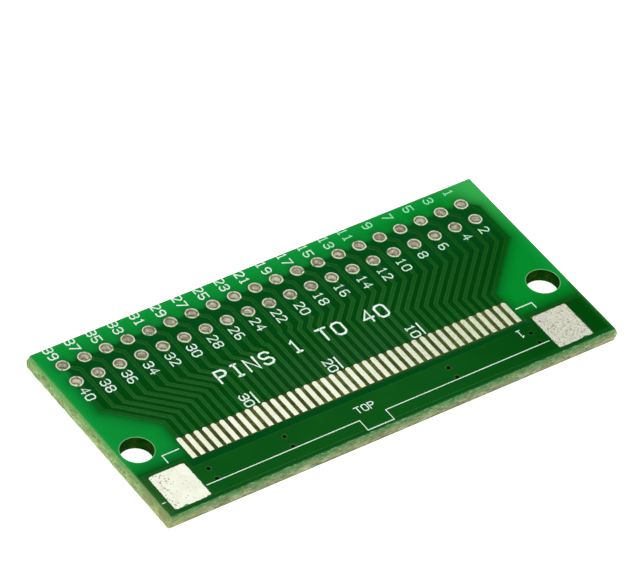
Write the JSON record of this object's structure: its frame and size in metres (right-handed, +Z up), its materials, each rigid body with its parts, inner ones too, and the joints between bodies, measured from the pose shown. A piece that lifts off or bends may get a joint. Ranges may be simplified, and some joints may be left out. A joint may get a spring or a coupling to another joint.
{
  "type": "fpc adapter board",
  "caption": "Bare circuit board that fans two rows of plated pin holes out to flat-cable contact lands, wide on top and fine below.",
  "frame": {"origin": "middle of the board's outline, level with the lowest lands of the underside", "axes": "+X along the board towards pin 1, +Y across it towards the pin holes, +Z up out of the face with the wide contacts"},
  "size_m": [0.0534, 0.0256, 0.0016],
  "materials": {
    "coated_laminate": "glass-epoxy laminate with green faces and yellow-olive sawn edges",
    "coated_copper": "copper foil under a glossy green coat",
    "solder_finish": "pale levelled solder over copper, slightly uneven",
    "solder_mask": "glossy green coat, raised a little over the copper",
    "legend_ink": "white screen-printed ink"
  },
  "bodies": {
    "root": {"laminate_panel": "coated_laminate", "odd_row_plated_holes": "solder_finish", "even_row_plated_holes": "solder_finish", "outer_via_barrels": "coated_copper", "inner_via_barrels": "coated_copper", "top_odd_tracks": "coated_copper", "top_even_tracks": "coated_copper", "bottom_odd_tracks": "coated_copper", "bottom_even_tracks": "coated_copper", "wide_pitch_contacts": "solder_finish", "fine_pitch_contacts": "solder_finish", "top_left_anchor_pad": "solder_finish", "top_right_anchor_pad": "solder_finish", "bottom_left_anchor_pad": "solder_finish", "bottom_right_anchor_pad": "solder_finish", "top_ground_strip": "coated_copper", "bottom_ground_strip": "coated_copper"}
  },
  "joints": []
}
